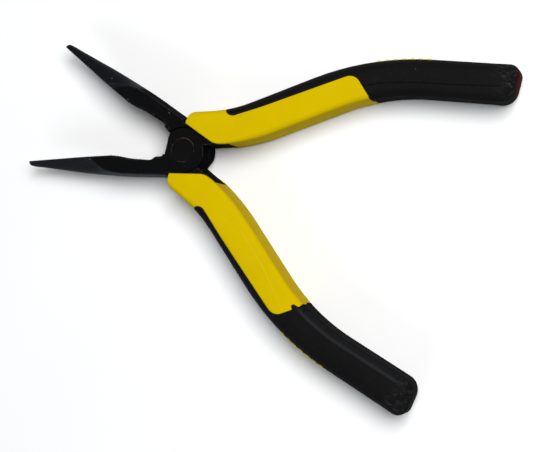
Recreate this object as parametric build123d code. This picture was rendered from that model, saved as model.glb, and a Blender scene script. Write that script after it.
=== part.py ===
from build123d import *
import math
import os

# Needle nose pliers with a lap joint and two-shot moulded grips, in millimetres.
#
# The two forged halves are the same piece, one turned over onto the other.
# Each half is drawn closed, in the place of the half whose lap lies on top:
# jaw towards -X and -Y of the closing line, handle towards +X and +Y of it.
# The origin is on the pivot axis, in the plane of the joint's underside. +Z is up.
# The tool is built fully open, the pose in which a jaw meets the opposite grip.

OVERCUT = 1.0             # how far a cutting shape runs past the piece that it cuts

# Joint
JOINT_THICKNESS = 9.0
MID = JOINT_THICKNESS / 2
LAP_GAP = 0.06            # between the two lapped faces
BOSS_RADIUS = 5.85
POCKET_RADIUS = 6.0       # shoulder round the other half's boss
BOSS_FLAT = 5.55          # flat at the handle side of the boss, from the axis
OPEN_ANGLE = 41.3         # between the jaws, fully open

# Rivet, set flush in both faces
RIVET_RADIUS = 2.5
RIVET_HEAD_RADIUS = 3.2
RIVET_HEAD_DEPTH = 0.9
RIVET_PLAY = 0.04         # radial, in the half that turns on it

# Jaw
JAW_LENGTH = 45.4
FACE_GAP = 0.06           # half of the gap left between the closed jaws at the tip
FACE_RELIEF = 0.2         # the same where the toothed face ends, so that the tips meet first
JAW_BACK = 5.98           # distance of the jaw's flat stop from the pivot axis
JAW_BACK_TAPER = 4.0      # degrees
STOP_END = -4.6           # beyond this the jaw's back swells out past its flat stop
STOP_RUNOUT = 0.9         # length over which it leaves the stop
BACK_LIMIT = 7.5          # further out than the turned envelope reaches
HEEL_RADIUS = 5.93        # halfway round the heel, between the jaw's back and the boss
HEEL_END = -42.0          # degrees from +X, where the heel meets the boss
TOOTH_PITCH = 0.8
GROOVE_OVERCUT = 0.05
TOOTH_DEPTH = 0.2
RECESS_START = -20.0      # the jaw's toothed face ends here, in a hollow that runs to the boss
RECESS_TEETH = 9
RECESS_TEETH_SHARE = 0.5  # of the hollow's length
RECESS_TOOTH_DEPTH = 0.3

# Shank and tang
SHANK_INNER = 0.9         # inner edge of the shank from the closing line
STOP_GAP = 0.12           # left between a jaw's back and the opposite grip
TANG_THICKNESS = 5.0

# Grip
GRIP_THICKNESS = 11.5
GRIP_EDGE = 2.2           # rounding of the long edges
SLEEVE_WALL = 1.7
REAR_CORE_START = 46.0    # the hard core runs on inside the sleeve from here
REAR_LENGTH = 60.0        # more than the rest of the grip
MARK_HEIGHT = 0.15        # the moulded bars stand this proud of the sleeve
MARK_DEPTH = 0.5
MARK_SIZE = 7.0
MARK_COUNT = 7
MARK_WIDTH = 1.1
MARK_PITCH = 2.1
MARK_START = 49.5
MARK_SLANT = 2.0          # a bar leans this far over the joint's thickness
MARK_BACK = 15.0          # the bars are cut from the back of the grip, between this Y
MARK_REACH = 10.0         # and this much further out

GRIP_LOW = MID - GRIP_THICKNESS / 2
GRIP_HIGH = MID + GRIP_THICKNESS / 2

STOP_LINE = JAW_BACK + STOP_GAP
STOP_ANGLE = OPEN_ANGLE - JAW_BACK_TAPER

os.makedirs("parts", exist_ok=True)


def polar(radius, degrees):
    angle = math.radians(degrees)
    return (radius * math.cos(angle), radius * math.sin(angle))


def slab(sketch, low, high):
    """The sketch as a plate between two heights."""
    return extrude(Plane.XY.offset(low) * sketch, amount=high - low)


def polygon(*points):
    return make_face(Polyline(*points, close=True))


def back_line(x):
    """Y of the jaw's straight back at x."""
    slope = math.tan(math.radians(JAW_BACK_TAPER))
    return -(JAW_BACK / math.cos(math.radians(JAW_BACK_TAPER)) + slope * x)


def stop_point(x):
    """The point at x on the line of the grip's front, which the other jaw meets."""
    normal = (math.sin(math.radians(STOP_ANGLE)), math.cos(math.radians(STOP_ANGLE)))
    return (x, (STOP_LINE - normal[0] * x) / normal[1])


def stop_x(y):
    """X on the line of the grip's front at height y of the plan."""
    normal = (math.sin(math.radians(STOP_ANGLE)), math.cos(math.radians(STOP_ANGLE)))
    return (STOP_LINE - normal[1] * y) / normal[0]


# Plan of a half ----------------------------------------------------------------------

BACK_FOOT = polar(JAW_BACK, -90 - JAW_BACK_TAPER)

# Oval sections of the jaw's envelope: X, half-width, half-height
ENVELOPE = [
    (-JAW_LENGTH, 1.15, 1.15),
    (-43.8, 1.56, 1.56),
    (-41.2, 1.98, 1.98),
    (-38.5, 2.46, 2.46),
    (-35.5, 2.97, 2.97),
    (-31.6, 3.68, 3.72),
    (-27.0, 4.4, 4.45),
    (-24.5, 4.75, 5.2),
    (-22.0, 5.06, 7.2),
    (-19.5, 5.35, 10.0),
    (-16.5, 5.65, 12.2),
    (-12.4, 5.94, 13.8),
    (-6.1, 6.38, 15.0),
    (6.0, 7.2, 16.0),
    (30.0, 9.0, 18.0),
]


def recess():
    """The hollow in the jaw's inner side, from the toothed face to the boss."""
    return Spline(
        (RECESS_START, -FACE_RELIEF),
        (-18.2, -0.45),
        (-15.0, -1.2),
        (-11.8, -1.68),
        (-9.5, -1.98),
        (-8.6, -1.86),
        (-7.9, -1.38),
        (-7.0, -1.25),
        (-4.9, -1.05),
    )


def jaw_plan():
    """Jaw from beyond the tip to the boss."""
    beyond = -JAW_LENGTH - OVERCUT
    hollow = recess()
    tip = (-JAW_LENGTH, -FACE_GAP)
    back = Polyline(
        hollow @ 1,
        (0, 0),
        BACK_FOOT,
        (STOP_END, back_line(STOP_END)),
        (STOP_END - STOP_RUNOUT, -BACK_LIMIT),
        (beyond, -BACK_LIMIT),
        (beyond, -FACE_GAP),
        tip,
    )
    return make_face([Line(tip, hollow @ 0), hollow] + list(back.edges()))


def boss_plan():
    """Round lap boss, flattened where it faces the jaws' mouth and the handles."""
    disc = Circle(BOSS_RADIUS)
    mouth_side = polygon((-3.3, 4.95), (-3.85, 3.6), (-4.5, 1.2), (-5.05, -0.75), (-8, -0.9), (-8, 4.95))
    handle_side = Pos(BOSS_FLAT, 0) * Rectangle(
        BOSS_RADIUS, 3 * BOSS_RADIUS, align=(Align.MIN, Align.CENTER)
    )
    return disc - mouth_side - handle_side


def heel_plan():
    """Rounded heel: the back's straight line up to its nearest point to the axis, then an arc
    that comes no further out, so that it sweeps past the other half's straight front."""
    start = (-1.0, back_line(-1.0))
    end = polar(BOSS_RADIUS, HEEL_END)
    halfway = polar(HEEL_RADIUS, (HEEL_END - 90 - JAW_BACK_TAPER) / 2)
    return make_face([
        Line((0, 0), start),
        Line(start, BACK_FOOT),
        ThreePointArc(BACK_FOOT, halfway, end),
        Line(end, (0, 0)),
    ])


def neck_plan():
    """Bridge from the boss to the shank, in the boss's own layer."""
    return polygon(
        (3.0, SHANK_INNER),
        (stop_x(SHANK_INNER) + 1.0, SHANK_INNER),
        stop_point(stop_x(SHANK_INNER) - 0.2),
        polar(STOP_LINE + 0.05, 48.5),
        polar(BOSS_RADIUS - 0.45, 48.5),
    )


def shank_plan():
    """Full-thickness shank under the front of the grip."""
    return polygon(
        (5.0, SHANK_INNER),
        (12.5, SHANK_INNER),
        (12.5, 7.6),
        (6.0, 7.2),
        stop_point(2.2),
        stop_point(4.4),
        polar(4.6, 44),
    )


def tang_plan():
    """Tapered tang along the middle of the grip."""
    return make_face(
        FilletPolyline(
            (11.5, 1.6), (19.4, 3.0), (51.2, 13.1), (68.8, 12.1), (68.8, 14.4), (51.2, 16.5), (19.4, 8.2),
            (11.5, 6.8),
            radius=[30, 40, 1.1, 1.1, 60, 30],
        )
        + Line((11.5, 6.8), (11.5, 1.6))
    )


def needle_body():
    """Envelope of the jaw: a slim round cone that swells out, oval, into nearly straight cheeks."""
    sections = []
    for x, wide, tall in ENVELOPE:
        across = Plane(origin=(x, 0, MID), x_dir=(0, 1, 0), z_dir=(1, 0, 0))
        sections.append(across * Ellipse(wide, tall))
    return loft(sections, ruled=True)


def groove(at, along, depth):
    """V groove of a depth across a toothed surface that runs through the point at."""
    inward = Vector(along.Y, -along.X)
    half = along * depth
    lip = at - inward * GROOVE_OVERCUT
    plan = make_face(Polyline(lip - half, lip + half, at + inward * depth, close=True))
    return slab(plan, -OVERCUT, JOINT_THICKNESS + OVERCUT)


def teeth():
    """Grooves across the jaw's face, square to the closing line, and on into the hollow."""
    count = int((JAW_LENGTH + RECESS_START) / TOOTH_PITCH) - 1
    hollow = recess()
    face = Line((-JAW_LENGTH, -FACE_GAP), hollow @ 0)
    stations = [(i + 1) * TOOTH_PITCH / face.length for i in range(count)]
    grooves = [groove(face @ share, face % share, TOOTH_DEPTH) for share in stations]
    for i in range(RECESS_TEETH):
        share = RECESS_TEETH_SHARE * (i + 0.7) / RECESS_TEETH
        grooves.append(groove(hollow @ share, hollow % share, RECESS_TOOTH_DEPTH))
    return grooves


def rivet_shape(play):
    """Flush rivet with a countersunk head in each face, enlarged by play for its hole."""
    radius = RIVET_RADIUS + play
    head = RIVET_HEAD_RADIUS + play
    depth = RIVET_HEAD_DEPTH
    top = JOINT_THICKNESS
    section = polygon(
        (0, 0), (head, 0), (radius, depth), (radius, top - depth), (head, top), (0, top)
    )
    return revolve(Plane.XZ * section, Axis.Z)


def heel_room():
    """Where the other half's heel stands when the tool is open, with running room."""
    heel = Rotation(0, 0, -OPEN_ANGLE) * mirror(heel_plan(), Plane.XZ)
    return offset(heel, POCKET_RADIUS - BOSS_RADIUS)


def forged_half(play):
    """One forging, closed and with its lap on top; play is the room round the rivet."""
    step = MID + LAP_GAP / 2
    lap = slab(boss_plan() + heel_plan() + neck_plan(), step, JOINT_THICKNESS)
    heavy = slab(jaw_plan(), 0, JOINT_THICKNESS) + slab(shank_plan(), 0, JOINT_THICKNESS)
    heavy -= slab(Circle(POCKET_RADIUS), -OVERCUT, step)
    heavy -= slab(heel_room(), -OVERCUT, step)
    half = (heavy + lap) & needle_body()
    half += slab(tang_plan(), MID - TANG_THICKNESS / 2, MID + TANG_THICKNESS / 2)
    half -= teeth()
    return half - rivet_shape(play)


# Grip --------------------------------------------------------------------------------


def grip_plan():
    """Outline of the whole grip, run on past its front for trimming."""
    back = [(-3, 9.8), (12.3, 9.47), (49.6, 20.8), (86.7, 15.7)]
    front = [(84.05, 6.65), (52.1, 11.25), (17.9, 0.95), (3, 0.6)]
    outline = FilletPolyline(*back, *front, radius=[30, 70, 2.5, 3.7, 50, 50])
    return make_face(outline + Line(front[-1], back[0]))


def front_mask():
    """Everything behind the grip's straight front, its outer shoulder and the bare inner side
    of the shank."""
    shoulder = [stop_point(1.1), (2.3, 8.9), (3.5, 9.9), (6, 11), (100, 40), (100, -20)]
    inner = [(12.5, -20), (11.9, 0.1), (11.0, 0.85), (9.7, 0.9), stop_point(8.2)]
    return polygon(*shoulder, *inner)


def sleeve_plan():
    """Region of the plan that the soft sleeve takes: a strip along the back, then the rear,
    behind a seam with a small hook near the inner edge."""
    strip = [(11.9, 25), (11.9, 7.25), (46.0, 16.65), (48.9, 11.9)]
    hook = [(47.75, 11.75), (48.15, 10.9), (49.7, 10.6), (49.9, 0)]
    line = FilletPolyline(*strip, *hook, radius=[2.2, 3.0, 0.4, 0.45, 0.3, 0.5])
    return make_face(line + Polyline(hook[-1], (95, 0), (95, 25), strip[0]))


def grip_solid():
    """The grip as one body, with its long edges rounded and its front trimmed."""
    body = slab(grip_plan(), GRIP_LOW, GRIP_HIGH)
    faces = body.faces().sort_by(Axis.Z)
    body = fillet(faces[0].edges() + faces[-1].edges(), GRIP_EDGE)
    return body & slab(front_mask(), GRIP_LOW - OVERCUT, GRIP_HIGH + OVERCUT)


def rear_core():
    """The hard core where it runs on inside the sleeve."""
    rear = Pos(REAR_CORE_START, 0) * Rectangle(REAR_LENGTH, REAR_LENGTH, align=(Align.MIN, Align.CENTER))
    plan = offset(grip_plan(), -SLEEVE_WALL) & rear
    return slab(plan, GRIP_LOW + SLEEVE_WALL, GRIP_HIGH - SLEEVE_WALL)


def grip_marks():
    """Slanted bars moulded into the back of the sleeve."""
    skin = offset(grip_plan(), MARK_HEIGHT) - offset(grip_plan(), -MARK_DEPTH)
    band = slab(skin, MID - MARK_SIZE / 2, MID + MARK_SIZE / 2)
    bars = []
    for i in range(MARK_COUNT):
        x = MARK_START + i * MARK_PITCH
        foot = [(x, 0), (x + MARK_WIDTH, 0)]
        head = [(x + MARK_WIDTH + MARK_SLANT, JOINT_THICKNESS), (x + MARK_SLANT, JOINT_THICKNESS)]
        bar = extrude(Plane.XZ.offset(-MARK_BACK) * polygon(*foot, *head), amount=-MARK_REACH)
        bars.append(band & bar)
    return bars


# Assembly ----------------------------------------------------------------------------


def open_top(shape):
    """From the closed place of the top half to its open place."""
    return Rotation(0, 0, OPEN_ANGLE / 2) * shape


def open_bottom(shape):
    """The same shape turned over to be the bottom half, in its open place."""
    turned_over = Pos(0, 0, JOINT_THICKNESS) * Rotation(180, 0, 0) * shape
    return Rotation(0, 0, -OPEN_ANGLE / 2) * turned_over


def grip_parts(steel):
    """Hard core, soft sleeve and marks, closed round the forging steel."""
    grip = grip_solid()
    soft_region = slab(sleeve_plan(), GRIP_LOW - OVERCUT, GRIP_HIGH + OVERCUT)
    inner = rear_core()
    marks = grip_marks()
    core = (grip - soft_region) + inner - steel
    sleeve = (grip & soft_region) - inner - steel
    return {
        "grip_core": core,
        "grip_sleeve": sleeve - marks,
        "grip_marks": Compound([mark.solids()[0] for mark in marks]),
    }


def write(name, shape):
    """One STEP file for the node, flattened to its solids."""
    solids = shape.solids()
    export_step(solids[0] if len(solids) == 1 else Compound(solids), f"parts/{name}.step")


top_steel = forged_half(RIVET_PLAY)
bottom_steel = forged_half(0)
write("top_half_forging", open_top(top_steel))
write("bottom_half_forging", open_bottom(bottom_steel))
write("pivot_rivet", rivet_shape(0))
for part, shape in grip_parts(top_steel).items():
    write("top_half_" + part, open_top(shape))
    write("bottom_half_" + part, open_bottom(shape))
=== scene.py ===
import math

import bmesh
import bpy
import numpy as np
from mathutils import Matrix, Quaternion, Vector


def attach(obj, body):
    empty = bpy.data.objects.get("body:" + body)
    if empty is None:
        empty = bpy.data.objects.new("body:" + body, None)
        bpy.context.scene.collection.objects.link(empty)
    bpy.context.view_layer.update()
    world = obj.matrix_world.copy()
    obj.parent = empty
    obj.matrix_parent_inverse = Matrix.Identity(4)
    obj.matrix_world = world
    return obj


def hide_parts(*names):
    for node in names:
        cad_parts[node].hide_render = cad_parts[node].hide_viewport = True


# Needle nose pliers. Shapes are worked out in millimetres, in the place of the half whose
# lap lies on top with the tool closed: x along the tool, jaw towards -X, handle towards +X,
# the closing line at y = 0. Each shape is a distance field, negative inside, that is meshed,
# moved onto its field and then carried to its place in the frame.

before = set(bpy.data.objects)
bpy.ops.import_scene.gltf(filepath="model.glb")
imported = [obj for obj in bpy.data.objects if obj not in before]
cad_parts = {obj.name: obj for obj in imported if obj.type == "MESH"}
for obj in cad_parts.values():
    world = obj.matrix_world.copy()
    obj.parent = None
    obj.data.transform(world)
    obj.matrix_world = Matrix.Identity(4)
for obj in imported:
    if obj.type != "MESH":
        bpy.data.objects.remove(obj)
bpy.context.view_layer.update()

MM = 0.001

# The joint
THICK = 9.0                # thickness of the joint
MID = THICK / 2
HALF_OPEN = 41.3 / 2       # degrees that each half is turned from its closed place
STEP = MID + 0.03          # height of the lapped face
BOSS = 5.85                # radius of the lap's boss
BOSS_FLAT = 5.55           # its flat side, towards the handles
POCKET = 6.0               # radius of the shoulder round the other half's boss
HEEL_ROOM = 0.15           # clearance round the other half's heel, fully open
HEEL_END = -42             # degrees round from +X, where the heel meets the boss
RIVET_HOLE = 2.54
RIVET_SEAT = 3.24          # radius of the countersink at the face
RIVET_CONE = 0.8           # its radius lost per height

# The jaw
JAW = 45.4                 # from the pivot to the tip
FACE = -0.06               # the toothed face at the tip, just short of the closing line
FACE_END = -0.2            # the same at its other end
BACK = 5.98                # the jaw's back, from the axis
BACK_TAPER = 4.0           # degrees
BACK_END = -4.6            # beyond this the back swells out past its straight part
BACK_LIMIT = -7.5          # further out than the jaw's envelope
BEYOND = -JAW - 1          # a place past the tip

# The shank and the grip's front, which the other jaw's back meets
SHANK_INNER = 0.9
STOP = 6.1                 # distance of the grip's front from the axis
STOP_TILT = 37.3           # degrees

# The grip
GRIP_HALF = 5.75           # half its thickness
GRIP_INSET = 0.012         # its skin inside its outline
SLEEVE_WALL = 1.7
PARTING_GAP = 0.03         # between a surface of the core and the sleeve over it


# Distance fields -----------------------------------------------------------------------


def polar(radius, degrees):
    angle = math.radians(degrees)
    return (radius * math.cos(angle), radius * math.sin(angle))


def round_max(a, b, r):
    """Intersection of two fields, its edge rounded to radius r."""
    u, v = np.maximum(a + r, 0), np.maximum(b + r, 0)
    return np.minimum(np.maximum(a, b), -r) + np.sqrt(u * u + v * v)


def round_min(a, b, r):
    """Union of two fields, the corner between them filled to radius r."""
    return -round_max(-a, -b, r)


def slab(z, low, high):
    return np.maximum(low - z, z - high)


def smooth_step(x, low, high):
    t = np.clip((x - low) / (high - low), 0, 1)
    return t * t * (3 - 2 * t)


def rounded(points, radii, closed=False, step=7.0):
    """The polyline with its inner corners turned into arcs of short chords, step degrees each;
    a radius of 0 keeps a corner."""
    pts = [np.array(p, float) for p in points]
    n = len(pts)
    corners = range(n) if closed else range(1, n - 1)
    out = [] if closed else [pts[0]]
    for i, r in zip(corners, radii):
        before, at, after = pts[i - 1], pts[i], pts[(i + 1) % n]
        a = (before - at) / np.linalg.norm(before - at)
        b = (after - at) / np.linalg.norm(after - at)
        turn = math.pi - math.acos(max(-1.0, min(1.0, float(a @ b))))
        if r == 0 or turn < 1e-3:
            out.append(at)
            continue
        start = at + a * r * math.tan(turn / 2)
        middle = (a + b) / np.linalg.norm(a + b)
        centre = at + middle * r / math.cos(turn / 2)
        count = max(2, int(math.degrees(turn) / step) + 1)
        side = 1 if a[0] * b[1] - a[1] * b[0] < 0 else -1
        for k in range(count + 1):
            angle = side * turn * k / count
            c, s = math.cos(angle), math.sin(angle)
            d = start - centre
            out.append(centre + np.array([c * d[0] - s * d[1], s * d[0] + c * d[1]]))
    return np.array(out if closed else out + [pts[-1]])


def line_distance(x, y, points):
    """Distance in plan to an open polyline."""
    best = None
    for (ax, ay), (bx, by) in zip(points[:-1], points[1:]):
        dx, dy = bx - ax, by - ay
        t = np.clip(((x - ax) * dx + (y - ay) * dy) / (dx * dx + dy * dy + 1e-12), 0, 1)
        d = (x - ax - t * dx) ** 2 + (y - ay - t * dy) ** 2
        best = d if best is None else np.minimum(best, d)
    return np.sqrt(best)


def area_distance(x, y, points):
    """Signed distance in plan to a closed outline."""
    points = [tuple(p) for p in points]
    inside = np.zeros(np.broadcast(x, y).shape, bool)
    loop = points + points[:1]
    for (ax, ay), (bx, by) in zip(loop[:-1], loop[1:]):
        if ay != by:
            inside ^= ((ay > y) != (by > y)) & (x < (bx - ax) * (y - ay) / (by - ay) + ax)
    d = line_distance(x, y, loop)
    return np.where(inside, -d, d)


def spline(knots):
    """Natural cubic through the knots, as y and slope at x."""
    kx, ky = np.array(knots, float).T
    n, h = len(kx), np.diff(kx)
    a = np.eye(n)
    b = np.zeros(n)
    for i in range(1, n - 1):
        a[i, i - 1 : i + 2] = h[i - 1], 2 * (h[i - 1] + h[i]), h[i]
        b[i] = 6 * ((ky[i + 1] - ky[i]) / h[i] - (ky[i] - ky[i - 1]) / h[i - 1])
    m = np.linalg.solve(a, b)

    def value(x):
        x = np.clip(x, kx[0], kx[-1])
        i = np.clip(np.searchsorted(kx, x) - 1, 0, n - 2)
        t, w = x - kx[i], h[i]
        slope = (ky[i + 1] - ky[i]) / w - w * (2 * m[i] + m[i + 1]) / 6
        y = ky[i] + t * (slope + t * (m[i] / 2 + t * (m[i + 1] - m[i]) / (6 * w)))
        return y, slope + t * (m[i] + t * (m[i + 1] - m[i]) / (2 * w))

    return value


# Steel ---------------------------------------------------------------------------------


def back_line(x):
    taper = math.radians(BACK_TAPER)
    return -(BACK / math.cos(taper) + math.tan(taper) * x)


def stop_point(x):
    tilt = math.radians(STOP_TILT)
    return (x, (STOP - math.sin(tilt) * x) / math.cos(tilt))


# the hollow in the jaw's inner side, behind its toothed face
RECESS_START = -20.0
RECESS = spline(
    [(RECESS_START, FACE_END), (-18.2, -0.45), (-15.0, -1.2), (-11.8, -1.68), (-9.5, -1.98),
     (-8.6, -1.86), (-7.9, -1.38), (-7.0, -1.25), (-4.9, -1.05)]
)
# half-width and half-height of the jaw's oval envelope
CHEEK = spline(
    [(-45.4, 1.15), (-43.8, 1.56), (-41.2, 1.98), (-38.5, 2.46), (-35.5, 2.97), (-31.6, 3.68),
     (-27, 4.4), (-21.7, 5.1), (-18.7, 5.44), (-16.6, 5.64), (-11.4, 6.0), (-6.1, 6.38), (6, 7.2)]
)
BELLY = spline(
    [(-45.4, 1.15), (-43.8, 1.56), (-41.2, 1.98), (-38.5, 2.46), (-35.5, 2.97), (-31.6, 3.72),
     (-27, 4.45), (-24.5, 5.2), (-22, 7.2), (-19.5, 10), (-16.5, 12.2), (-12.4, 13.8), (-6.1, 15),
     (6, 16)]
)
TOOTH_PITCH = 0.8
TOOTH_DEPTH = 0.2
HOLLOW_TOOTH_PITCH = 0.85
HOLLOW_TOOTH_DEPTH = 0.3


def toothed(curve, first, last, pitch, depth):
    """Points along a curve, given as y and slope at x, with a V groove at every pitch."""
    out = []
    x = first
    while x < last:
        y, slope = curve(x)
        run = 1 / math.hypot(1, slope)
        out.append((x - depth * run, float(curve(x - depth * run)[0])))
        out.append((x + depth * slope * run, float(y) - depth * run))
        out.append((x + depth * run, float(curve(x + depth * run)[0])))
        x += pitch
    return out


def jaw_face(x):
    """Y and slope of the toothed face, which falls away from the closing line."""
    relief = (FACE_END - FACE) / (JAW + RECESS_START)
    return FACE + relief * (x + JAW), relief


def jaw_outline():
    """The jaw's plan from beyond the tip to the axis."""
    face = toothed(jaw_face, -JAW + TOOTH_PITCH, RECESS_START - 0.6, TOOTH_PITCH, TOOTH_DEPTH)
    hollow = toothed(RECESS, RECESS_START + 0.6, -12.2, HOLLOW_TOOTH_PITCH, HOLLOW_TOOTH_DEPTH)
    smooth = [(x, float(RECESS(x)[0])) for x in np.linspace(-11.8, -4.9, 16)]
    foot = polar(BACK, -90 - BACK_TAPER)
    swell = [(BACK_END, back_line(BACK_END)), (BACK_END - 0.9, BACK_LIMIT), (BEYOND, BACK_LIMIT)]
    start = [(BEYOND, FACE)]
    return start + face + [(RECESS_START, FACE_END)] + hollow + smooth + [(0, 0), foot] + swell


def heel_outline():
    """The rounded heel: the back's last stretch, then an arc that runs into the boss."""
    first = -90 - BACK_TAPER
    foot = polar(BACK, first)
    turns = np.linspace(0, 1, 9)[1:]
    arc = [polar(BACK + (BOSS - BACK) * t, first + (HEEL_END - first) * t) for t in turns]
    return [(0, 0), (-1.0, back_line(-1.0)), foot] + arc


JAW_OUTLINE = jaw_outline()
HEEL_OUTLINE = heel_outline()
MOUTH_OUTLINE = [(-3.3, 4.95), (-3.85, 3.6), (-4.5, 1.2), (-5.05, -0.75), (-8, -0.9), (-8, 4.95)]
NECK_OUTLINE = [
    (3.0, SHANK_INNER), (9.9, SHANK_INNER), stop_point(8.7), polar(6.15, 48.5), polar(5.4, 48.5)
]
SHANK_OUTLINE = [
    (5.0, SHANK_INNER), (12.5, SHANK_INNER), (12.5, 7.6), (6.0, 7.2), stop_point(2.2),
    stop_point(4.4), polar(4.6, 44),
]
TANG_OUTLINE = rounded(
    [(11.5, 1.6), (19.4, 3.0), (51.2, 13.1), (68.8, 12.1), (68.8, 14.4), (51.2, 16.5), (19.4, 8.2),
     (11.5, 6.8)],
    [30, 40, 1.1, 1.1, 60, 30],
)
TANG_HALF = 2.5            # half the tang's thickness


def tang(x, y, z):
    return round_max(area_distance(x, y, TANG_OUTLINE), np.abs(z - MID) - TANG_HALF, 0.3)


def envelope(x, y, z):
    """Oval section of the jaw, from the slim tip to the cheeks."""
    wide, slope = CHEEK(x)
    tall, _ = BELLY(x)
    across, up = y / wide, (z - MID) / tall
    share = np.sqrt(across**2 + up**2) + 1e-6
    steep = np.sqrt((across / wide) ** 2 + (up / tall) ** 2) + 1e-6
    return (share - 1) * share / steep / np.sqrt(1 + slope * slope)


def forging(x, y, z):
    """One forging, its lap on top, with the hole for the rivet."""
    radius = np.sqrt(x * x + y * y)
    jaw = area_distance(x, y, JAW_OUTLINE)
    heel = area_distance(x, y, HEEL_OUTLINE)
    shank = area_distance(x, y, SHANK_OUTLINE)
    neck = area_distance(x, y, NECK_OUTLINE)
    boss = round_max(radius - BOSS, -area_distance(x, y, MOUTH_OUTLINE), 0.25)
    boss = round_max(boss, x - BOSS_FLAT, 0.12)
    heavy = np.minimum(jaw, shank)
    lap = round_min(np.minimum(np.minimum(heavy, heel), neck), boss, 0.12)
    turn = math.radians(-2 * HALF_OPEN)
    c, s = math.cos(turn), math.sin(turn)
    room = area_distance(c * x + s * y, s * x - c * y, HEEL_OUTLINE) - HEEL_ROOM
    lower = round_max(np.maximum(heavy, -room), POCKET - radius, 0.12)
    upper = round_max(lap, slab(z, STEP, THICK), 0.28)
    lower = round_max(lower, np.maximum(-z, z - THICK + 0.6), 0.28)
    # ground bevel on the hollow's rim, on the side without the lap
    rim = (y - RECESS(x)[0] - z + 0.85) * math.sqrt(0.5)
    rim = np.minimum(rim, 0.3 - np.abs(x + 9.4) * 0.12)
    lower = np.maximum(lower, rim)
    cone = round_max(envelope(x, y, z), -JAW - x, 0.5)
    half = round_max(np.minimum(upper, lower), cone, 0.22)
    half = np.minimum(half, tang(x, y, z))
    head = radius - RIVET_SEAT + np.minimum(z, THICK - z) * RIVET_CONE
    hole = np.minimum(radius - RIVET_HOLE, round_max(head, -1 - z, 0.1))
    return round_max(half, -hole, 0.1)


# Grip ----------------------------------------------------------------------------------

GRIP_OUTLINE = rounded(
    [(-3, 9.8), (12.3, 9.47), (49.6, 20.8), (86.7, 15.7), (84.05, 6.65), (52.1, 11.25),
     (17.9, 0.95), (3, 0.6)],
    [30, 70, 2.5, 3.7, 50, 50],
    step=3.0,
)
# everything behind the grip's front, its outer shoulder and the bare inner side of the shank
FRONT_OUTLINE = rounded(
    [stop_point(1.1), (2.3, 8.9), (3.5, 9.9), (6, 11), (100, 40), (100, -20), (12.5, -20),
     (11.9, 0.1), (11.0, 0.85), (9.7, 0.9), stop_point(8.2)],
    [0.5, 1.2, 1.5, 0, 0, 0, 0, 1.2, 0.6, 0.5, 0.2],
    closed=True,
)
# the sleeve: a strip along the back, then the whole rear, behind an edge with and without a hook
STRIP = [(11.9, 25), (11.9, 7.25), (46.0, 16.65)]
HOOK = [(48.9, 11.9), (47.75, 11.75), (48.15, 10.9), (49.7, 10.6)]
REAR = [(49.9, 0), (95, 0), (95, 25)]
SEAM_OUTLINE = rounded(STRIP + HOOK + REAR, [2.2, 3.0, 0.4, 0.45, 0.3, 0.5, 0, 0])
PLAIN_SEAM = rounded(STRIP + [(49.2, 10.9)] + REAR, [2.2, 3.0, 0.8, 0, 0])
# the mould's parting line on the sleeve's rear, and its fainter mark on the core
PARTING = [
    (48.0, 13.0), (52.3, 13.35), (57.3, 13.25), (62.3, 12.8), (69.6, 11.8), (74.5, 11.3),
    (79.3, 10.75), (84.3, 9.9),
]
WITNESS = [(26.2, 5.9), (35.8, 9.0), (47.2, 14.2)]
CORE_REAR = 46.0           # the core runs on inside the sleeve from here


def rear_middle(x):
    """Y halfway across the grip's rear, which narrows slowly."""
    return 16.3 - (x - 52) * 0.14


def grip(x, y, z):
    """The whole grip, with the edge that faces the other grip crisper than the back."""
    plan = area_distance(x, y, GRIP_OUTLINE) + GRIP_INSET
    middle = np.where(x < 52, 5.1 + (x - 14) * 0.297, rear_middle(x))
    back = smooth_step(y - middle, -0.8, 0.8)
    rear = smooth_step(x, 46.0, 52.0)
    end = smooth_step(x, 80.0, 84.5)
    inner = 0.45 + 1.05 * smooth_step(x, 9.0, 20.0) + 0.3 * rear
    outer = 1.5 + 1.6 * smooth_step(x, 8.0, 20.0)
    edge = inner * (1 - back) + outer * back
    edge = edge * (1 - end) + 2.9 * end
    crown = 0.22 * smooth_step(plan, -5.0, 0.0)
    height = np.abs(z - MID) - GRIP_HALF + crown
    body = round_max(plan, height, edge)
    # the flatter edge of the rear, on the side without the lap
    bevel = (plan + 1.75 - (z - MID + GRIP_HALF)) * math.sqrt(0.5)
    bevel = bevel - 4.0 * (1 - rear * (1 - back) * (1 - smooth_step(x, 79.5, 83.5)))
    body = round_max(body, bevel, 0.35)
    return round_max(body, area_distance(x, y, FRONT_OUTLINE), 0.3)


def rear_core(x, y, z):
    """The core where it runs on inside the sleeve."""
    plan = area_distance(x, y, GRIP_OUTLINE) + SLEEVE_WALL
    height = np.abs(z - MID) - GRIP_HALF + SLEEVE_WALL
    return round_max(np.maximum(plan, CORE_REAR - x), height, 0.5)


def seam_distance(x, y, z):
    """Plan distance to the sleeve's edge, which leans a little and has its hook on one side."""
    leaning = y + 0.35 * np.clip((z - MID) / MID, -1, 1) * smooth_step(x, 12.0, 24.0)
    hooked = area_distance(x, leaning, SEAM_OUTLINE)
    return np.where(z < MID, hooked, area_distance(x, leaning, PLAIN_SEAM))


def core(x, y, z):
    """The hard yellow core, with room for the shank and the tang."""
    seam = seam_distance(x, y, z)
    hard = round_max(grip(x, y, z), PARTING_GAP - seam, 0.16)
    hard = np.minimum(hard, rear_core(x, y, z))
    return np.maximum(hard, -(steel_room(x, y, z) + 0.1))


def steel_room(x, y, z):
    """The steel that lies inside the grip."""
    shank = np.maximum(area_distance(x, y, SHANK_OUTLINE), slab(z, 0, THICK))
    return np.minimum(shank, tang(x, y, z))


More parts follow.
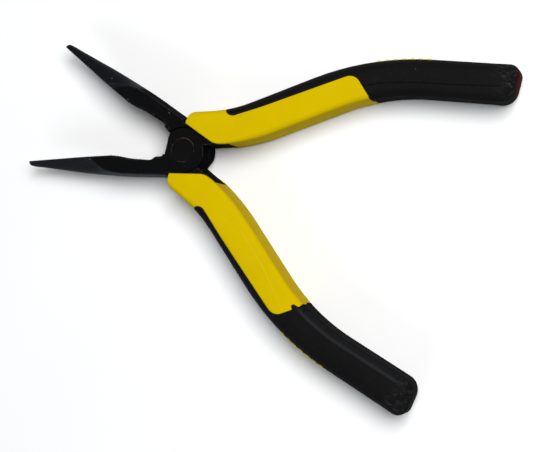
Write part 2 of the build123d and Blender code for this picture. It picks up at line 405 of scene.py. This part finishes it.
def sleeve(x, y, z):
    """The soft sleeve over the core."""
    seam = seam_distance(x, y, z)
    soft = round_max(grip(x, y, z), seam + PARTING_GAP, 0.2)
    return np.maximum(soft, PARTING_GAP - rear_core(x, y, z))


MARK_START = 49.5
MARK_PITCH = 2.1
MARK_HALF_WIDTH = 0.55
MARK_RUN = 14.2            # length of the row of bars
MARK_SLANT = 0.22          # how far a bar leans per height
MARK_PROUD = 0.16
MARK_DEPTH = 0.5
MARK_HALF_HEIGHT = 3.7


def marks(x, y, z):
    """Slanted bars moulded into the sleeve's back."""
    body = grip(x, y, z)
    along = x - z * MARK_SLANT - MARK_START
    bar = np.abs((along + 0.5) % MARK_PITCH - MARK_PITCH / 2) - MARK_HALF_WIDTH
    bar = np.maximum(bar, slab(along, -0.5, MARK_RUN))
    skin = round_max(body - MARK_PROUD, -body - MARK_DEPTH, 0.02)
    return round_max(round_max(skin, bar, 0.1), np.abs(z - MID) - MARK_HALF_HEIGHT, 0.1)


# Meshing -------------------------------------------------------------------------------


def spaced(*stretches):
    """Grid values over stretches given as (start, end, spacing)."""
    out = [np.linspace(a, b, max(2, int(math.ceil((b - a) / s)) + 1)) for a, b, s in stretches]
    return np.unique(np.round(np.concatenate(out), 6))


def surface(field, xs, ys, zs):
    """Quads on the zero level of the field: a vertex in each grid cell that it passes through."""
    f = field(xs[:, None, None], ys[None, :, None], zs[None, None, :])
    f = np.broadcast_to(f, (len(xs), len(ys), len(zs))).astype(np.float32)
    inside = f < 0
    cell = tuple(n - 1 for n in f.shape)
    corner = [(i, j, k) for i in (0, 1) for j in (0, 1) for k in (0, 1)]
    count = np.zeros(cell, np.int8)
    for i, j, k in corner:
        count += inside[i : i + cell[0], j : j + cell[1], k : k + cell[2]]
    where = np.argwhere((count > 0) & (count < 8))
    number = -np.ones(cell, np.int64)
    number[tuple(where.T)] = np.arange(len(where))
    axes = (xs, ys, zs)
    total, hits = np.zeros((len(where), 3)), np.zeros(len(where))
    for a in corner:
        for axis in range(3):
            if a[axis]:
                continue
            b = list(a)
            b[axis] = 1
            at, to = where + a, where + b
            fa, fb = f[tuple(at.T)], f[tuple(to.T)]
            crossed = (fa < 0) != (fb < 0)
            t = np.where(crossed, fa / np.where(crossed, fa - fb, 1), 0)
            for n in range(3):
                low, high = axes[n][at[:, n]], axes[n][to[:, n]]
                total[:, n] += np.where(crossed, low + t * (high - low), 0)
            hits += crossed
    points = total / hits[:, None]
    quads = []
    for axis in range(3):
        u, v = (axis + 1) % 3, (axis + 2) % 3
        low = [slice(None)] * 3
        high = [slice(None)] * 3
        low[axis], high[axis] = slice(0, -1), slice(1, None)
        flip = inside[tuple(low)] != inside[tuple(high)]
        at = np.argwhere(flip)
        at = at[(at[:, u] > 0) & (at[:, v] > 0) & (at[:, u] < cell[u]) & (at[:, v] < cell[v])]
        ring = []
        for du, dv in ((0, 0), (-1, 0), (-1, -1), (0, -1)):
            p = at.copy()
            p[:, u] += du
            p[:, v] += dv
            ring.append(number[tuple(p.T)])
        ring = np.stack(ring, 1)
        outward = inside[tuple(at.T)]
        quads.append(np.where(outward[:, None], ring, ring[:, ::-1]))
    return points, np.concatenate(quads)


def settle(field, points, rounds=2, reach=0.06, limit=0.12):
    """Points moved onto the field's zero level, with the normals and the curvature there."""
    p = points.copy()
    for step in range(rounds + 1):
        x, y, z = p.T
        here = field(x, y, z)
        around = []
        for n in range(3):
            shift = [0.0, 0.0, 0.0]
            shift[n] = reach
            dx, dy, dz = shift
            around.append((field(x + dx, y + dy, z + dz), field(x - dx, y - dy, z - dz)))
        gradient = np.stack([(a - b) / (2 * reach) for a, b in around], 1)
        length = np.linalg.norm(gradient, axis=1)[:, None] + 1e-9
        if step < rounds:
            move = here[:, None] * gradient / np.maximum(length, 0.4) ** 2
            p -= np.clip(move, -limit, limit)
    bend = sum(a + b for a, b in around) - 6 * here
    return p, gradient / length, bend / reach**2


def build(field, xs, ys, zs):
    """The surface of a field over a grid, as arrays."""
    points, quads = surface(field, xs, ys, zs)
    points, normals, bend = settle(field, points)
    return {"points": points, "quads": quads, "normals": normals, "bend": bend}


def to_frame(points, half, direction=False):
    """From the drawn place to a half's open place; a direction isn't lifted."""
    p = points.copy()
    side = 1 if half == "top" else -1
    if side < 0:
        p = p * (1, -1, -1)
        if not direction:
            p = p + (0, 0, THICK)
    turn = side * math.radians(HALF_OPEN)
    c, s = math.cos(turn), math.sin(turn)
    return np.stack([c * p[:, 0] - s * p[:, 1], s * p[:, 0] + c * p[:, 1], p[:, 2]], 1)


def piece(name, made, half, material, node, extra=None):
    """A mesh object in the frame, in metres, with its drawn place kept for the materials."""
    mesh = bpy.data.meshes.new(name)
    points = to_frame(made["points"], half) * MM
    mesh.vertices.add(len(points))
    mesh.vertices.foreach_set("co", points.astype(np.float32).ravel())
    quads = made["quads"]
    mesh.loops.add(quads.size)
    mesh.loops.foreach_set("vertex_index", quads.astype(np.int32).ravel())
    mesh.polygons.add(len(quads))
    mesh.polygons.foreach_set("loop_start", np.arange(0, quads.size, 4, dtype=np.int32))
    mesh.update(calc_edges=True)
    mesh.validate()
    mesh.polygons.foreach_set("use_smooth", np.ones(len(mesh.polygons), bool))
    attribute = mesh.attributes.new("drawn", "FLOAT_VECTOR", "POINT")
    attribute.data.foreach_set("vector", made["points"].astype(np.float32).ravel())
    values = {"bend": made["bend"], **(extra or {})}
    for key, value in values.items():
        attribute = mesh.attributes.new(key, "FLOAT", "POINT")
        attribute.data.foreach_set("value", value.astype(np.float32))
    normals = to_frame(made["normals"], half, direction=True)
    mesh.normals_split_custom_set_from_vertices(normals.astype(np.float32))
    obj = bpy.data.objects.new(name, mesh)
    bpy.context.scene.collection.objects.link(obj)
    mesh.materials.append(material)
    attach(obj, half + "_half")
    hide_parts(node)
    return obj


# Materials -----------------------------------------------------------------------------


class Paint:
    """A node material with one Principled shader, and short ways to add its nodes."""

    def __init__(self, name):
        self.material = bpy.data.materials.new(name)
        self.material.use_nodes = True
        self.tree = self.material.node_tree
        self.tree.nodes.clear()
        self.shader = self.node("ShaderNodeBsdfPrincipled")
        out = self.node("ShaderNodeOutputMaterial")
        self.link(self.shader.outputs[0], out.inputs[0])
        # the place on the object in millimetres, and the place that it was drawn in
        place = self.node("ShaderNodeTexCoord")
        scale = self.node("ShaderNodeVectorMath", operation="SCALE")
        self.link(place.outputs["Object"], scale.inputs[0])
        scale.inputs["Scale"].default_value = 1 / MM
        self.place = scale.outputs[0]
        self.drawn = self.attribute("drawn", vector=True)

    def node(self, kind, **settings):
        made = self.tree.nodes.new(kind)
        for key, value in settings.items():
            setattr(made, key, value)
        return made

    def link(self, a, b):
        if isinstance(a, bpy.types.NodeSocket):
            self.tree.links.new(a, b)
        else:
            b.default_value = a

    def set(self, **values):
        for key, value in values.items():
            self.link(value, self.shader.inputs[key.replace("_", " ")])

    def attribute(self, name, vector=False):
        made = self.node("ShaderNodeAttribute", attribute_name=name)
        return made.outputs["Vector" if vector else "Fac"]

    def math(self, operation, a, b=0.0, c=0.0):
        made = self.node("ShaderNodeMath", operation=operation)
        for value, socket in zip((a, b, c), made.inputs):
            self.link(value, socket)
        return made.outputs[0]

    def stretch(self, vector, by):
        made = self.node("ShaderNodeVectorMath", operation="MULTIPLY")
        self.link(vector, made.inputs[0])
        made.inputs[1].default_value = by
        return made.outputs[0]

    def noise(self, vector, scale, detail=3.0, rough=0.5, warp=0.0):
        made = self.node("ShaderNodeTexNoise")
        self.link(vector, made.inputs["Vector"])
        made.inputs["Scale"].default_value = scale
        made.inputs["Detail"].default_value = detail
        made.inputs["Roughness"].default_value = rough
        made.inputs["Distortion"].default_value = warp
        return made.outputs[0]

    def band(self, value, low, high, to_low=0.0, to_high=1.0):
        """A smooth step from to_low to to_high as the value goes from low to high."""
        made = self.node("ShaderNodeMapRange", interpolation_type="SMOOTHSTEP")
        for v, socket in zip((value, low, high, to_low, to_high), made.inputs):
            self.link(v, socket)
        return made.outputs[0]

    def mix(self, share, a, b):
        """Colour a with a share of colour b over it."""
        made = self.node("ShaderNodeMix", data_type="RGBA")
        self.link(share, made.inputs[0])
        for value, socket in ((a, made.inputs[6]), (b, made.inputs[7])):
            self.link(value if isinstance(value, bpy.types.NodeSocket) else (*value, 1), socket)
        return made.outputs[2]

    def specks(self, vector, scale, size, share):
        """Scattered spots: 1 in the middle of a share of the cells."""
        made = self.node("ShaderNodeTexVoronoi")
        self.link(vector, made.inputs["Vector"])
        made.inputs["Scale"].default_value = scale
        near = self.band(made.outputs["Distance"], size * 0.4, size, 1.0, 0.0)
        split = self.node("ShaderNodeSeparateColor")
        self.link(made.outputs["Color"], split.inputs[0])
        chosen = self.band(split.outputs[0], 1 - share, 1 - share + 0.005)
        return self.math("MULTIPLY", near, chosen)

    def bump(self, height, strength, distance, below=None):
        made = self.node("ShaderNodeBump")
        made.inputs["Strength"].default_value = strength
        made.inputs["Distance"].default_value = distance * MM
        self.link(height, made.inputs["Height"])
        if below is not None:
            self.link(below, made.inputs["Normal"])
        return made.outputs[0]


def steel_material():
    p = Paint("black_steel_finish")
    cloud = p.noise(p.place, 0.35, 4, 0.6)
    fine = p.noise(p.place, 9.0, 3, 0.6)
    ground_and_sheen, wall = p.attribute("ground_and_sheen"), p.attribute("wall")
    split = p.node("ShaderNodeSeparateXYZ")
    p.link(p.drawn, split.inputs[0])
    x, y = split.outputs[0], split.outputs[1]
    radius = p.math("SQRT", p.math("ADD", p.math("MULTIPLY", x, x), p.math("MULTIPLY", y, y)))
    base = p.mix(cloud, (0.0016, 0.0016, 0.0017), (0.0034, 0.0034, 0.0035))
    # the ground cone lighter and bluish: partly its ground finish, partly a painted sheen
    base = p.mix(p.math("MULTIPLY", ground_and_sheen, 0.85), base, (0.0078, 0.0084, 0.0115))
    streak = p.noise(p.stretch(p.drawn, (6.0, 0.5, 0.5)), 1.6, 4, 0.6)
    base = p.mix(p.math("MULTIPLY", p.band(streak, 0.5, 0.75), 0.35), base, (0.009, 0.0095, 0.012))
    worn = p.band(p.attribute("bend"), 0.9, 3.2)
    worn = p.math("MULTIPLY", worn, p.band(p.noise(p.place, 1.3, 4, 0.65), 0.38, 0.66))
    clear = p.math("MAXIMUM", p.band(radius, 6.2, 6.5), p.band(x, 5.2, 5.4))
    worn = p.math("MULTIPLY", worn, clear)
    base = p.mix(p.math("MULTIPLY", worn, 0.45), base, (0.035, 0.037, 0.043))
    hair = p.noise(p.stretch(p.drawn, (0.35, 7.0, 7.0)), 2.2, 3, 0.7)
    # lighter lengthwise streaks on the ground cone: grinding marks, and partly a painted sheen
    streaks_and_sheen = p.math("MULTIPLY", ground_and_sheen, p.band(hair, 0.46, 0.72))
    base = p.mix(p.math("MULTIPLY", streaks_and_sheen, 0.5), base, (0.017, 0.0185, 0.024))
    scratch = p.math("MULTIPLY", p.band(hair, 0.69, 0.76), p.band(cloud, 0.45, 0.6))
    base = p.mix(p.math("MULTIPLY", scratch, 0.3), base, (0.025, 0.025, 0.027))
    dust = p.specks(p.place, 0.75, 0.13, 0.16)
    base = p.mix(p.math("MULTIPLY", dust, 0.8), base, (0.16, 0.155, 0.15))
    # upright faces near the joint painted nearly black: painted shade
    base = p.mix(p.math("MULTIPLY", wall, 0.9), base, (0.0004, 0.0004, 0.0004))
    rough = p.math("ADD", p.math("MULTIPLY", fine, 0.16), p.band(wall, 0.0, 1.0, 0.4, 0.84))
    rough = p.math("ADD", rough, p.math("MULTIPLY", dust, 0.4))
    p.set(Base_Color=base, Roughness=rough, Metallic=0.0, IOR=1.5, Specular_IOR_Level=0.025)
    p.shader.inputs["Specular Tint"].default_value = (0.86, 0.92, 1.0, 1)
    grain = p.bump(fine, 0.25, 0.05)
    lines = p.bump(streak, 0.22, 0.06, grain)
    p.set(Normal=p.bump(hair, 0.12, 0.05, lines))
    return p.material


def rivet_material():
    p = Paint("rivet_finish")
    split = p.node("ShaderNodeSeparateXYZ")
    p.link(p.place, split.inputs[0])
    x, y = split.outputs[0], split.outputs[1]
    radius = p.math("SQRT", p.math("ADD", p.math("MULTIPLY", x, x), p.math("MULTIPLY", y, y)))
    cloud = p.noise(p.place, 0.6, 4, 0.6)
    fine = p.noise(p.place, 10.0, 3, 0.6)
    base = p.mix(cloud, (0.002, 0.002, 0.0021), (0.0038, 0.0038, 0.0038))
    ring = p.band(radius, 2.95, 3.08)
    rubbed = p.band(p.noise(p.place, 0.5, 4, 0.6), 0.42, 0.66)
    brass = p.math("MULTIPLY", ring, rubbed)
    base = p.mix(p.math("MULTIPLY", brass, 0.8), base, (0.085, 0.055, 0.028))
    turned = p.noise(p.place, 2.5, 4, 0.7, 0.5)
    base = p.mix(p.math("MULTIPLY", p.band(turned, 0.6, 0.8), 0.4), base, (0.008, 0.008, 0.008))
    p.set(Base_Color=base, Roughness=p.math("ADD", p.math("MULTIPLY", fine, 0.15), 0.4))
    p.set(Metallic=0.0, IOR=1.5, Specular_IOR_Level=0.025)
    p.set(Normal=p.bump(turned, 0.2, 0.08, p.bump(fine, 0.25, 0.05)))
    return p.material


def yellow_material(name, lines=True):
    p = Paint(name)
    cloud = p.noise(p.place, 0.11, 4, 0.6)
    fine = p.noise(p.place, 4.5, 4, 0.65)
    base = p.mix(cloud, (0.415, 0.292, 0.0), (0.465, 0.332, 0.0))
    smear = p.band(p.noise(p.stretch(p.drawn, (1.0, 1.6, 1.0)), 0.33, 5, 0.7, 0.6), 0.58, 0.78)
    base = p.mix(p.math("MULTIPLY", smear, 0.16), base, (0.3, 0.19, 0.001))
    # darker in concave places of the surface, such as the seam
    concave_dark = p.band(p.attribute("bend"), -0.25, -1.6)
    base = p.mix(p.math("MULTIPLY", concave_dark, 0.5), base, (0.16, 0.1, 0.006))
    rubbed = p.math("MULTIPLY", p.band(p.attribute("bend"), 0.8, 3.0), p.band(fine, 0.45, 0.6))
    base = p.mix(p.math("MULTIPLY", rubbed, 0.12), base, (0.52, 0.39, 0.02))
    # upright sides painted darker: painted shade
    base = p.mix(p.math("MULTIPLY", p.attribute("wall"), 0.22), base, (0.22, 0.15, 0.0))
    dots = p.specks(p.place, 0.28, 0.055, 0.12)
    base = p.mix(p.math("MULTIPLY", dots, 0.6), base, (0.2, 0.12, 0.01))
    if lines:
        witness = p.band(p.attribute("witness"), 0.0, 0.14, 1.0, 0.0)
        base = p.mix(p.math("MULTIPLY", witness, 0.4), base, (0.56, 0.46, 0.06))
    rough = p.math("ADD", p.math("MULTIPLY", fine, 0.14), 0.52)
    rough = p.math("ADD", rough, p.math("MULTIPLY", smear, 0.12))
    p.set(Base_Color=base, Roughness=rough, IOR=1.46, Specular_IOR_Level=0.01)
    texture = p.bump(fine, 0.16, 0.05)
    p.set(Normal=p.bump(p.noise(p.place, 0.5, 3, 0.5), 0.1, 0.25, texture))
    return p.material


def rubber_material():
    p = Paint("black_rubber_finish")
    cloud = p.noise(p.place, 0.16, 4, 0.6)
    grain = p.noise(p.place, 5.0, 5, 0.75)
    base = p.mix(cloud, (0.003, 0.0028, 0.0031), (0.0048, 0.0047, 0.0052))
    bloom = p.band(p.noise(p.place, 1.1, 5, 0.7), 0.52, 0.72)
    base = p.mix(p.math("MULTIPLY", bloom, 0.25), base, (0.0115, 0.0115, 0.0125))
    split = p.node("ShaderNodeSeparateXYZ")
    p.link(p.drawn, split.inputs[0])
    end = p.band(split.outputs[0], 78.5, 83.0)
    scuff = p.band(p.noise(p.stretch(p.place, (0.7, 2.2, 1.0)), 0.9, 5, 0.7, 0.8), 0.5, 0.68)
    scuff = p.math("MULTIPLY", scuff, end)
    base = p.mix(p.math("MULTIPLY", scuff, 0.75), base, (0.034, 0.034, 0.033))
    worn = p.math("MULTIPLY", p.band(p.attribute("bend"), 0.5, 1.6), p.band(grain, 0.35, 0.6))
    base = p.mix(p.math("MULTIPLY", worn, 0.35), base, (0.014, 0.0155, 0.017))
    wall = p.attribute("wall")
    # upright sides painted nearly black: painted shade
    base = p.mix(p.math("MULTIPLY", wall, 0.7), base, (0.0012, 0.0012, 0.0012))
    # the end's rim painted dark red on the top half: a painted reflection
    base = p.mix(p.attribute("rim"), base, (0.06, 0.0015, 0.003))
    # a lighter line along the ridge of the rear: a painted highlight
    base = p.mix(p.math("MULTIPLY", p.attribute("crest"), 0.6), base, (0.018, 0.0195, 0.021))
    # the parting line as a bumped groove, its colour painted nearly black as the groove's shade
    line = p.band(p.attribute("parting"), 0.02, 0.2, 1.0, 0.0)
    base = p.mix(p.math("MULTIPLY", line, 0.85), base, (0.0004, 0.0004, 0.0004))
    fibre = p.specks(p.stretch(p.place, (1.0, 0.45, 1.0)), 0.62, 0.09, 0.14)
    base = p.mix(p.math("MULTIPLY", fibre, 0.7), base, (0.09, 0.09, 0.09))
    upright = p.band(wall, 0.0, 1.0, 0.52, 0.8)
    rough = p.math("ADD", p.math("MULTIPLY", grain, 0.18), upright)
    p.set(Base_Color=base, Roughness=rough, IOR=1.5, Specular_IOR_Level=0.03)
    skin = p.bump(grain, 0.3, 0.06)
    p.set(Normal=p.bump(p.math("MULTIPLY", line, -1.0), 0.8, 0.12, skin))
    return p.material


def floor_material():
    p = Paint("floor_paper")
    soft = p.noise(p.place, 0.02, 3, 0.5)
    tooth = p.noise(p.place, 1.2, 4, 0.6)
    p.set(Base_Color=p.mix(soft, (0.69, 0.69, 0.69), (0.72, 0.72, 0.72)), Roughness=0.9)
    p.set(Specular_IOR_Level=0.1, Normal=p.bump(tooth, 0.05, 0.1))
    return p.material


# The object ----------------------------------------------------------------------------


RIVET_HEAD = 3.19
RIVET_SHANK = 2.5
RIVET_DEPTH = 0.9          # of the countersunk head
RIVET_EDGE = 0.14          # rounding of the head's edge
RIVET_TURNS = 160          # vertices round it


def rivet_object(material):
    """The rivet, turned about the axis, with a head flush in each face."""
    low = [(0.02, 0.03), (1.2, 0.028), (2.4, 0.015), (RIVET_HEAD - RIVET_EDGE - 0.1, 0.01)]
    for a in np.linspace(0.1, 1.5, 7):
        across = RIVET_HEAD - RIVET_EDGE + RIVET_EDGE * math.sin(a)
        low.append((across, RIVET_EDGE - RIVET_EDGE * math.cos(a)))
    low += [(RIVET_HEAD - 0.02, RIVET_EDGE + 0.1), (RIVET_SHANK, RIVET_DEPTH)]
    outline = low + [(r, THICK - z) for r, z in reversed(low)]
    angles = np.linspace(0, 2 * math.pi, RIVET_TURNS, False)
    bm = bmesh.new()
    rings = []
    for r, z in outline:
        ring = [(r * math.cos(a) * MM, r * math.sin(a) * MM, z * MM) for a in angles]
        rings.append([bm.verts.new(place) for place in ring])
    for a, b in zip(rings[:-1], rings[1:]):
        for i in range(RIVET_TURNS):
            j = (i + 1) % RIVET_TURNS
            bm.faces.new((a[i], a[j], b[j], b[i]))
    bm.faces.new(list(reversed(rings[0])))
    bm.faces.new(rings[-1])
    bmesh.ops.recalc_face_normals(bm, faces=bm.faces)
    for face in bm.faces:
        face.smooth = True
    mesh = bpy.data.meshes.new("rivet")
    bm.to_mesh(mesh)
    bm.free()
    obj = bpy.data.objects.new("rivet", mesh)
    bpy.context.scene.collection.objects.link(obj)
    mesh.materials.append(material)
    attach(obj, "bottom_half")
    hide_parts("pivot_rivet")


def cone_share(points):
    """1 where a point of the forging lies on the jaw's envelope, which is finished by grinding."""
    x, y, z = points.T
    away = np.abs(envelope(x, y, z))
    return (1 - smooth_step(away, 0.05, 0.3)) * (x < -3)


def steep(made):
    """1 where a shape's surface stands upright."""
    return smooth_step(1 - np.abs(made["normals"][:, 2]), 0.35, 0.8)


steel = steel_material()
yellow = yellow_material("yellow_grip_finish")
yellow_marks = yellow_material("yellow_mark_finish", lines=False)
rubber = rubber_material()

forged = build(
    forging,
    spaced((-45.7, -11.5, 0.14), (-11.5, 13, 0.17), (13, 69.2, 0.5)),
    spaced((-6.8, -2.4, 0.18), (-2.4, 0.2, 0.11), (0.2, 9.4, 0.18), (9.4, 17.0, 0.4)),
    spaced((-0.3, 9.3, 0.17)),
)
hard = build(
    core,
    spaced((0.5, 54, 0.22), (54, 85, 0.4)),
    spaced((-0.3, 21.2, 0.22)),
    spaced((-1.6, 10.6, 0.23)),
)
soft = build(
    sleeve,
    spaced((11.5, 87.6, 0.23)),
    spaced((5.4, 21.4, 0.22)),
    spaced((-1.6, 10.6, 0.23)),
)
bars = build(
    marks,
    spaced((48.4, 67, 0.12)),
    spaced((16.0, 20.8, 0.12)),
    spaced((0.5, 8.5, 0.12)),
)
OTHER_SIDE = 10            # keeps a line's distance large on the side that doesn't show it
# what the materials read: where the steel is ground, with a painted sheen, or upright and painted
# dark as shade, how far a point is from the moulding lines, the painted highlight along the ridge
# of the sleeve's rear and the painted reflection on its end
# the ground cone's share, which carries its finish and also a painted sheen
ground_and_sheen = cone_share(forged["points"])
x, y, z = forged["points"].T
near_joint = np.where(x > 0, 1.0, 1 - smooth_step(np.hypot(x, y), 6.1, 6.5))
cheek = smooth_step(x, -21.0, -18.5)
x, y, z = hard["points"].T
witness = line_distance(x, y, WITNESS) + OTHER_SIDE * (z > MID)
x, y, z = soft["points"].T
parting = line_distance(x, y, PARTING) + OTHER_SIDE * (z < MID)
# where a reflection is painted on the upright faces of the sleeve's end, used on the top half only
rim = 0.6 * smooth_step(x, 83.6, 86.2) * steep(soft)
# the ridge of the rear on the side without the lap, where a highlight line is painted
ridge = np.exp(-(((area_distance(x, y, GRIP_OUTLINE) + 1.6) / 0.32) ** 2))
along = smooth_step(x, 48.5, 50.5) * (1 - smooth_step(x, 79.0, 83.0))
crest = ridge * along * (z < 0) * (y < rear_middle(x))

for half in ("top", "bottom"):
    top = half == "top"
    # on the bottom half the cheek loses the painted sheen and its upright faces are painted dark,
    # and the cone's painted sheen is weaker: painted light that differs between the halves
    shaded_cheek = cheek * (not top)
    piece(half + "_forging", forged, half, steel, half + "_half_forging",
          {"ground_and_sheen": ground_and_sheen * (1 - shaded_cheek) * (1.0 if top else 0.45),
           "wall": steep(forged) * np.maximum(near_joint, shaded_cheek)})
    piece(half + "_core", hard, half, yellow, half + "_half_grip_core",
          {"witness": witness, "wall": steep(hard)})
    piece(half + "_sleeve", soft, half, rubber, half + "_half_grip_sleeve",
          {"parting": parting, "wall": steep(soft), "crest": crest, "rim": rim * top})
    piece(half + "_marks", bars, half, yellow_marks, half + "_half_grip_marks",
          {"wall": 0 * bars["bend"]})
rivet_object(rivet_material())


# Stage ---------------------------------------------------------------------------------

FLOOR_HALF = 3.0           # metres
FLOOR_Z = -1.3 * MM        # just under the grips
floor_mesh = bpy.data.meshes.new("floor")
around = [(-1, -1), (1, -1), (1, 1), (-1, 1)]
corners = [(x * FLOOR_HALF, y * FLOOR_HALF, FLOOR_Z) for x, y in around]
floor_mesh.from_pydata(corners, [], [(0, 1, 2, 3)])
floor = bpy.data.objects.new("floor", floor_mesh)
bpy.context.scene.collection.objects.link(floor)
floor_mesh.materials.append(floor_material())

world = bpy.data.worlds.new("studio")
world.use_nodes = True
# a dim room for the lighting, seen directly as a pale backdrop
ROOM_LIGHT = 0.1
BACKDROP = 0.9
sky = world.node_tree.nodes["Background"]
sky.inputs[0].default_value = (1, 1, 1, 1)
seen = world.node_tree.nodes.new("ShaderNodeLightPath")
level = world.node_tree.nodes.new("ShaderNodeMapRange")
level.inputs["To Min"].default_value = ROOM_LIGHT
level.inputs["To Max"].default_value = BACKDROP
world.node_tree.links.new(seen.outputs["Is Camera Ray"], level.inputs["Value"])
world.node_tree.links.new(level.outputs[0], sky.inputs[1])
bpy.context.scene.world = world


def softbox(name, place, aim, size, power, colour=(1, 1, 1)):
    """An area light at a place, facing aim; power in watts."""
    light = bpy.data.lights.new(name, "AREA")
    light.shape = "RECTANGLE"
    light.size, light.size_y = size
    light.energy = power
    light.color = colour
    obj = bpy.data.objects.new(name, light)
    obj.location = place
    obj.rotation_euler = (Vector(aim) - Vector(place)).to_track_quat("-Z", "Y").to_euler()
    bpy.context.scene.collection.objects.link(obj)


softbox("key", (0.2, 0.22, 0.6), (0.02, 0, 0), (0.45, 0.4), 7.0)
softbox("fill", (-0.1, -0.5, 0.3), (0.0, 0, 0), (0.5, 0.25), 1.3, (0.85, 0.93, 1.0))

CAMERA_PLACE = (0.12809, 0.00573, 0.33467)
CAMERA_AIM = (0.0277955, -0.0113551, 0.009)
CAMERA_ROLL = -80.923      # degrees
CAMERA_LENS = 91.864
camera = bpy.data.objects.new("camera", bpy.data.cameras.new("camera"))
camera.data.sensor_width = 36
camera.data.lens = CAMERA_LENS
camera.data.clip_start = 0.01
camera.location = CAMERA_PLACE
camera.rotation_mode = "QUATERNION"
towards = (Vector(CAMERA_AIM) - camera.location).to_track_quat("-Z", "Y")
camera.rotation_quaternion = towards @ Quaternion((0, 0, 1), math.radians(CAMERA_ROLL))
bpy.context.scene.collection.objects.link(camera)
bpy.context.scene.camera = camera
bpy.context.scene.view_settings.view_transform = "Standard"
